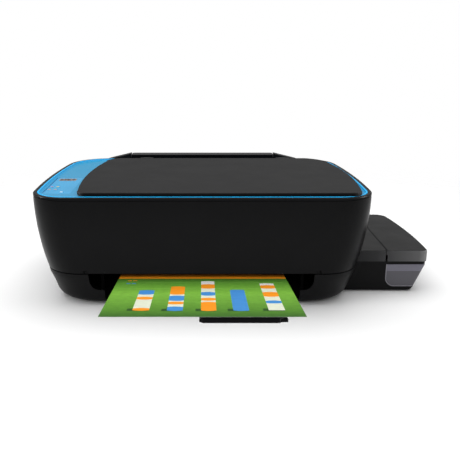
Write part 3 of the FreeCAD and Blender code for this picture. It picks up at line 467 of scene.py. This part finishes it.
def printed_ink(name, colour):
    """A patch of printed colour with faint streaks along the print head's path."""
    material, tree, shader = new_material(name)
    streaks = noise(tree, object_coords(tree, (0.08, 1, 1)), 700.0, 3.0)
    tree.links.new(ramp(tree, streaks, [(0.3, shade(colour, 0.88)), (0.7, shade(colour, 1.08))]),
                   shader.inputs["Base Color"])
    shader.inputs["Roughness"].default_value = 0.42
    shader.inputs["Specular IOR Level"].default_value = 0.35
    return material


def paint(obj, material):
    obj.data.materials.clear()
    obj.data.materials.append(material)


def finishes():
    """One material for each slot of the record."""
    made = {
        "black_satin": plastic("black_satin", BODY_BLACK, 0.31, specular=0.075),
        "black_matte": plastic("black_matte", INNER_BLACK, 0.38, specular=0.07),
        "lid_grey": lid_texture(),
        "black_gloss": plastic("black_gloss", GLOSS_BLACK, 0.18, specular=0.03, grain=300.0,
                               depth=0.003),
        "blue_plastic": blue_frame(),
        "blue_overlay": plastic("blue_overlay", OVERLAY_BLUE, 0.3, specular=0.28, grain=1600.0,
                                depth=0.008),
        "button_plastic": plastic("button_plastic", BUTTON_BLUE, 0.32, specular=0.3, depth=0.006),
        "lcd": plastic("lcd", DISPLAY_GREY, 0.12, specular=0.4, grain=200.0, depth=0.002),
        "scan_glass": clear_plastic("scan_glass", GLASS_TINT, 0.02, 0.95),
        "white_foam": foam(),
        "grey_plastic": plastic("grey_plastic", PART_GREY, 0.45),
        "steel": brushed_steel(),
        "rubber": plastic("rubber", RUBBER, 0.75, specular=0.25, grain=700.0, depth=0.05),
        "belt_rubber": plastic("belt_rubber", BELT, 0.7, specular=0.25, grain=700.0, depth=0.04),
        "white_gear": plastic("white_gear", GEAR_WHITE, 0.38, grain=500.0, depth=0.01,
                              uneven=0.04),
        "circuit_green": circuit(),
        "paper": plastic("paper_white", PAPER_WHITE, 0.6, specular=0.2, depth=0.02, uneven=0.01),
        "tank_clear": clear_plastic("tank_clear", TANK_TINT, 0.30, 0.55),
        "cap_rubber": plastic("cap_rubber", CAP_BLACK, 0.5, specular=0.3, grain=800.0, depth=0.02),
        "tube_clear": clear_plastic("tube_clear", TUBE_TINT, 0.18, 0.7),
    }
    for row in frame["record"]["subparts"]:
        paint(NODES[row["node"]], made[row["material_slot"]])
    paint(NODES["tank_window"], smoked_window())
    skirt = skirt_plastic()
    for name in ("tank_cover", "tank_lid"):
        paint(NODES[name], skirt)


# ---- mesh building ----
def add_mesh(name, verts, faces, material, body):
    """A flat-shaded piece with one material, riding on a body."""
    mesh = bpy.data.meshes.new(name)
    mesh.from_pydata([tuple(v) for v in verts], [], faces)
    obj = bpy.data.objects.new(name, mesh)
    bpy.context.collection.objects.link(obj)
    obj.data.materials.append(material)
    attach(obj, body)
    return obj


# ---- printed page, u across it from its middle and v back from its near edge ----
PAGE_LOW, PAGE_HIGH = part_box("printed_sheet")
SHEET_T = 0.4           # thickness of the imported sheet
PAPER_T = 0.12          # thickness of the shown one, which lies in it
PAGE_TOP_DROP = 0.12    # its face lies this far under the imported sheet's
PAGE_X = (PAGE_LOW.x + PAGE_HIGH.x) / 2
PAGE_HALF = (PAGE_HIGH.x - PAGE_LOW.x) / 2 / MM
TILT = math.atan2(PAGE_HIGH.z - PAGE_LOW.z - SHEET_T * MM, PAGE_HIGH.y - PAGE_LOW.y)
PAGE_LEN = (PAGE_HIGH.y - PAGE_LOW.y) / math.cos(TILT) / MM
PAGE_GRID = (24, 30)
SIDE_MARGIN, END_MARGIN = 0.2, 0.4
HEADER_V, HEADER_MARGIN = (178.0, 214.0), 0.3
LEGEND_U, LEGEND_W = (-95.0, -88.0), 5.0
LEGEND_V = {"orange": (165, 169), "blue": (149, 153)}
GRID_V, GRID_HALF, GRID_W = (60, 92, 124, 156), 100, 0.5
LENS_BOW, BAND_BOW = 2.2, 1.2       # how far a band's curved ends bulge
SHADOW_LEFT, SHADOW_RIGHT, SHADOW_FRONT, SHADOW_REAR = 6, -1, 3, 7     # past each column's foot
LINE_LIFT, SHADOW_LIFT, BAND_LIFT, LENS_LIFT = 0.01, 0.015, 0.03, 0.06
PAGE_WHITE = (0.66, 0.66, 0.64)
COLUMN_BANDS = [
    ((-75, -57), [("orange", 26, 33), ("cream", 33, 73), ("orange", 73, 82), ("cream", 82, 96),
                  ("blue", 96, 114)]),
    ((-38, -21), [("blue", 25, 39), ("cream", 39, 52), ("orange", 52, 60), ("cream", 60, 67),
                  ("blue", 67, 87), ("cream", 87, 96), ("orange", 96, 133)]),
    ((-1.5, 15), [("orange", 25, 59), ("cream", 59, 68), ("orange", 68, 77), ("cream", 77, 91),
                  ("blue", 91, 105), ("cream", 105, 126), ("orange", 126, 145),
                  ("white", 145, 163)]),
    ((33, 50), [("blue", 25, 116)]),
    ((71, 88.5), [("cream", 26, 56), ("blue", 56, 65), ("cream", 65, 86), ("orange", 86, 105),
                  ("cream", 105, 126), ("orange", 126, 140), ("white", 140, 151)]),
]
INKS = {"orange": (0.92, 0.30, 0.010), "cream": (0.72, 0.76, 0.60), "blue": (0.055, 0.26, 0.62),
        "white": (0.82, 0.82, 0.78), "shadow": (0.022, 0.085, 0.010), "line": (0.30, 0.60, 0.12)}


def on_page(u, v, lift=0.0):
    """A place on the page: u from its middle, v back from its near edge, lift above its face."""
    x = PAGE_X + u * MM
    y = PAGE_LOW.y + (v * math.cos(TILT) + lift * math.sin(TILT)) * MM
    z = PAGE_HIGH.z + (-v * math.sin(TILT) + (lift - PAGE_TOP_DROP) * math.cos(TILT)) * MM
    return Vector((x, y, z))


def page_patch(u0, u1, v0, v1, bows=(0.0, 0.0), lift=BAND_LIFT, columns=10, rows=2):
    """A grid over part of the page; bows move the middle of its near and far edges."""
    verts = []
    for j in range(rows + 1):
        for i in range(columns + 1):
            s, f = i / columns, j / rows
            arch = 1 - (2 * s - 1) ** 2
            v = (v0 + bows[0] * arch) * (1 - f) + (v1 + bows[1] * arch) * f
            verts.append(on_page(u0 + (u1 - u0) * s, v, lift))
    faces = []
    for j in range(rows):
        for i in range(columns):
            a = j * (columns + 1) + i
            faces.append((a, a + 1, a + columns + 2, a + columns + 1))
    return verts, faces


def join_patches(patches):
    """One mesh from several."""
    verts, faces = [], []
    for more_verts, more_faces in patches:
        start = len(verts)
        verts += more_verts
        faces += [tuple(start + i for i in face) for face in more_faces]
    return verts, faces


def hide_from_neighbours(piece):
    """Keep a piece's shadow, bounce and reflection off the floor and the front cover."""
    piece.visible_shadow = False
    piece.visible_diffuse = False
    piece.visible_glossy = False


def page_edge(columns, rows):
    """Numbers of the grid's points in order round its outline."""
    edge = list(range(columns + 1))
    edge += [columns + (columns + 1) * j for j in range(1, rows + 1)]
    edge += [rows * (columns + 1) + i for i in range(columns - 1, -1, -1)]
    edge += [(columns + 1) * j for j in range(rows - 1, 0, -1)]
    return edge


def add_sheet_of_paper():
    """The sheet itself: a thin closed slab, printed green on top and white underneath."""
    columns, rows = PAGE_GRID
    top, faces = page_patch(-PAGE_HALF + SIDE_MARGIN, PAGE_HALF - SIDE_MARGIN, SIDE_MARGIN,
                            PAGE_LEN - END_MARGIN, lift=0.0, columns=columns, rows=rows)
    under = [p - Vector((0, 0, PAPER_T * MM)) for p in top]
    count = len(top)
    faces += [tuple(reversed([count + i for i in face])) for face in faces]
    edge = page_edge(columns, rows)
    for a, b in zip(edge, edge[1:] + edge[:1]):
        faces.append((a, count + a, count + b, b))
    page = add_mesh("printed_page", top + under, faces, paper_green(), "sheet")
    back = plastic("page_back", PAGE_WHITE, 0.7, specular=0.2, depth=0.01, uneven=0.02)
    page.data.materials.append(back)
    for polygon in page.data.polygons[columns * rows:]:
        polygon.material_index = 1
    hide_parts("printed_sheet")
    return page


def printing():
    """Patches of each ink: a header, a small legend, five banded columns and the grid lines."""
    by_ink = {name: [] for name in INKS}
    header_half = PAGE_HALF - HEADER_MARGIN
    by_ink["orange"].append(page_patch(-header_half, header_half, *HEADER_V))
    for u in LEGEND_U:
        for ink, (v0, v1) in LEGEND_V.items():
            by_ink[ink].append(page_patch(u, u + LEGEND_W, v0, v1))
    for (u0, u1), bands in COLUMN_BANDS:
        foot = bands[0][1]
        by_ink["shadow"].append(page_patch(u0 - SHADOW_LEFT, u1 + SHADOW_RIGHT, foot - SHADOW_FRONT,
                                           foot + SHADOW_REAR, lift=SHADOW_LIFT))
        for ink, v0, v1 in bands:
            bows, lift = (0.0, BAND_BOW), BAND_LIFT
            if ink in ("orange", "blue"):
                bows, lift = (-LENS_BOW, LENS_BOW), LENS_LIFT
            by_ink[ink].append(page_patch(u0, u1, v0, v1, bows, lift))
    for v in GRID_V:
        by_ink["line"].append(page_patch(-GRID_HALF, GRID_HALF, v, v + GRID_W, lift=LINE_LIFT))
    return by_ink


def add_page():
    for piece in (add_sheet_of_paper(), NODES["output_tray"], NODES["tray_extender"]):
        hide_from_neighbours(piece)
    for name, patches in printing().items():
        verts, faces = join_patches(patches)
        ink = printed_ink("ink_" + name, INKS[name])
        hide_from_neighbours(add_mesh("print_" + name, verts, faces, ink, "sheet"))


# ---- marks on the control panel ----
LCD_SEGMENTS = [(-202.0, -197.5, 120.5, 129.5), (-196.5, -192.5, 119.5, 124.0),
                (-196.5, -190.0, 126.0, 130.5), (-191.5, -186.5, 120.0, 128.0),
                (-185.5, -181.0, 121.0, 130.0)]
SEGMENT_INK = (0.050, 0.042, 0.045)
BUTTON_MARKS = {"power_button": (0.80, 0.86, 0.90), "resume_button": (0.62, 0.33, 0.20),
                "cancel_button": (0.58, 0.30, 0.24), "copy_color_button": (0.50, 0.20, 0.36),
                "copy_black_button": (0.80, 0.55, 0.10)}
LAMP_PLACES = {"lamp_left": (-204.4, 67.6), "lamp_right": (-197.0, 69.6)}
LAMP_GREEN = (0.18, 0.55, 0.22)
MARK_T, MARK_R, MARK_HOLE_R = 0.12, 1.9, 0.7
LAMP_R, LAMP_HOLE_R = 1.1, 0.1
DISC_STEPS = 24
BAR_CLIP = 0.4
# painted shade: a dark blue strip laid in the panel's groove
GROOVE_SHADE_BLUE, GROOVE_DROP = (0.0008, 0.13, 0.34), 0.30
GROOVE_SHADE_BARS = [(-208.7, -207.4, 43.0, 136.6), (-208.7, -204.8, 136.7, 137.9)]


def ring_plate(centre, radius, hole):
    """A thin closed ring standing on a place."""
    count = DISC_STEPS
    verts, faces = [], []
    for r in (radius, hole):
        for lift in (0.0, MARK_T):
            for i in range(count):
                turn = 2 * math.pi * i / count
                verts.append(centre + Vector((r * math.cos(turn), r * math.sin(turn), lift)) * MM)
    for i in range(count):
        j = (i + 1) % count
        faces.append((i, j, count + j, count + i))
        faces.append((count + i, count + j, 3 * count + j, 3 * count + i))
        faces.append((3 * count + i, 3 * count + j, 2 * count + j, 2 * count + i))
        faces.append((2 * count + i, 2 * count + j, j, i))
    return verts, faces


def bar_plate(x0, x1, y0, y1, z):
    """A thin closed bar with clipped corners."""
    clip = BAR_CLIP
    outline = [(x0 + clip, y0), (x1 - clip, y0), (x1, y0 + clip), (x1, y1 - clip), (x1 - clip, y1),
               (x0 + clip, y1), (x0, y1 - clip), (x0, y0 + clip)]
    verts = [at(x, y, z + lift) for lift in (0.0, MARK_T) for x, y in outline]
    count = len(outline)
    faces = [tuple(reversed(range(count))), tuple(range(count, 2 * count))]
    faces += [(i, (i + 1) % count, count + (i + 1) % count, count + i) for i in range(count)]
    return verts, faces


def top_centre(name):
    low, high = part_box(name)
    return Vector(((low.x + high.x) / 2, (low.y + high.y) / 2, high.z))


def add_panel_marks():
    """Segments on the display, a plain ring on each button, a strip of painted shade in the groove and
    two status lamps.
    """
    lcd_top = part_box("lcd_window")[1].z / MM
    segment_ink = plastic("lcd_segment", SEGMENT_INK, 0.3, specular=0.3, depth=0.004)
    verts, faces = join_patches([bar_plate(*places, lcd_top) for places in LCD_SEGMENTS])
    add_mesh("lcd_segments", verts, faces, segment_ink, "base")
    for name, colour in BUTTON_MARKS.items():
        ink = plastic("mark_" + name, colour, 0.4, specular=0.3, depth=0.004)
        verts, faces = ring_plate(top_centre(name), MARK_R, MARK_HOLE_R)
        add_mesh(name + "_mark", verts, faces, ink, name)
    panel_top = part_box("control_overlay")[1].z / MM
    # painted shade: a dark strip laid in the groove
    groove = plastic("groove_painted_shade", GROOVE_SHADE_BLUE, 0.4, specular=0.2, depth=0.004)
    groove_z = panel_top - GROOVE_DROP
    verts, faces = join_patches([bar_plate(*places, groove_z) for places in GROOVE_SHADE_BARS])
    add_mesh("panel_groove_shade", verts, faces, groove, "base")
    lamp = plastic("lamp_green", LAMP_GREEN, 0.2, specular=0.4, depth=0.004)
    for name, (x, y) in LAMP_PLACES.items():
        verts, faces = ring_plate(at(x, y, panel_top), LAMP_R, LAMP_HOLE_R)
        add_mesh(name, verts, faces, lamp, "base")


# ---- white backing under the lid ----
BACKING_CORNER_R, CORNER_STEPS = 4.0, 6
BACKING_EDGE = [(1.0, 0.0), (0.3, 0.3), (0.0, 1.0)]     # inset and height of the rounded edge's rings


def rounded_ring(low, high, radius, inset, z):
    """Points round a box's outline with rounded corners, drawn in by an inset."""
    points = []
    corners = ((low.x, low.y), (high.x, low.y), (high.x, high.y), (low.x, high.y))
    for k, (x, y) in enumerate(corners):
        centre_x = x + (radius if x == low.x else -radius)
        centre_y = y + (radius if y == low.y else -radius)
        for i in range(CORNER_STEPS + 1):
            turn = math.pi + math.pi / 2 * (k + i / CORNER_STEPS)
            points.append((centre_x + (radius - inset) * math.cos(turn),
                           centre_y + (radius - inset) * math.sin(turn), z))
    return points


def add_lid_backing():
    """White foam pad with soft edges, glued under the scanner lid."""
    low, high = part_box("lid_pad")
    heights = [(inset, low.z + lift * MM) for inset, lift in BACKING_EDGE]
    heights += [(inset, high.z - lift * MM) for inset, lift in reversed(BACKING_EDGE)]
    verts = []
    for inset, z in heights:
        verts += rounded_ring(low, high, BACKING_CORNER_R * MM, inset * MM, z)
    count = len(verts) // len(heights)
    faces = [tuple(reversed(range(count))), tuple(range(len(verts) - count, len(verts)))]
    for level in range(len(heights) - 1):
        for i in range(count):
            a, b = level * count + i, level * count + (i + 1) % count
            faces.append((a, b, b + count, a + count))
    backing = add_mesh("lid_backing", verts, faces, foam(), "lid")
    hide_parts("lid_pad")


# ---- pale edge of the tank window ----
RIM_CORNER_R, RIM_WIDTH, RIM_PROUD = 13.0, 1.1, 0.2
RIM_FOOT_LEN, RIM_STEPS = 40.0, 12
LEAN_Z = 35.0       # below this height the line leans back with the front, by 1 mm at the table


def window_front(z):
    """How far back the line lies at a height, in millimetres."""
    return (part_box("tank_window")[0].y - BODY_Y) / MM + max(0.0, (LEAN_Z - z) / LEAN_Z)


def add_window_rim():
    """A thin raised line down the window's left edge, round its corner and along its foot."""
    low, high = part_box("tank_window")
    left = (low.x - BODY_X) / MM
    foot, top = low.z / MM, high.z / MM
    centre_x, centre_z = left + RIM_CORNER_R, foot + RIM_CORNER_R
    path = [(left, top, 1, 0)]
    for i in range(RIM_STEPS + 1):
        turn = math.pi + (math.pi / 2) * i / RIM_STEPS
        across, up = math.cos(turn), math.sin(turn)
        path.append((centre_x + RIM_CORNER_R * across, centre_z + RIM_CORNER_R * up, -across, -up))
    path.append((left + RIM_FOOT_LEN, foot, 0, 1))
    verts = []
    for x, z, nx, nz in path:
        for along, proud in ((0, 0), (0, RIM_PROUD), (RIM_WIDTH, RIM_PROUD), (RIM_WIDTH, 0)):
            px, pz = x + nx * along, z + nz * along
            verts.append(at(px, window_front(pz) - proud, pz))
    faces = [(0, 1, 2, 3), tuple(len(verts) - k for k in (1, 2, 3, 4))]
    for i in range(len(path) - 1):
        for k in range(4):
            a, b = 4 * i + k, 4 * i + (k + 1) % 4
            faces.append((a, a + 4, b + 4, b))
    rim = plastic("window_rim", WINDOW_RIM, 0.3, specular=0.4, depth=0.004)
    add_mesh("tank_window_rim", verts, faces, rim, "base")


def main():
    finishes()
    add_page()
    add_panel_marks()
    add_window_rim()
    add_lid_backing()
    add_world(WORLD_FILL)
    add_floor()
    add_lights()
    add_camera()
    bpy.context.scene.view_settings.view_transform = "Standard"


main()
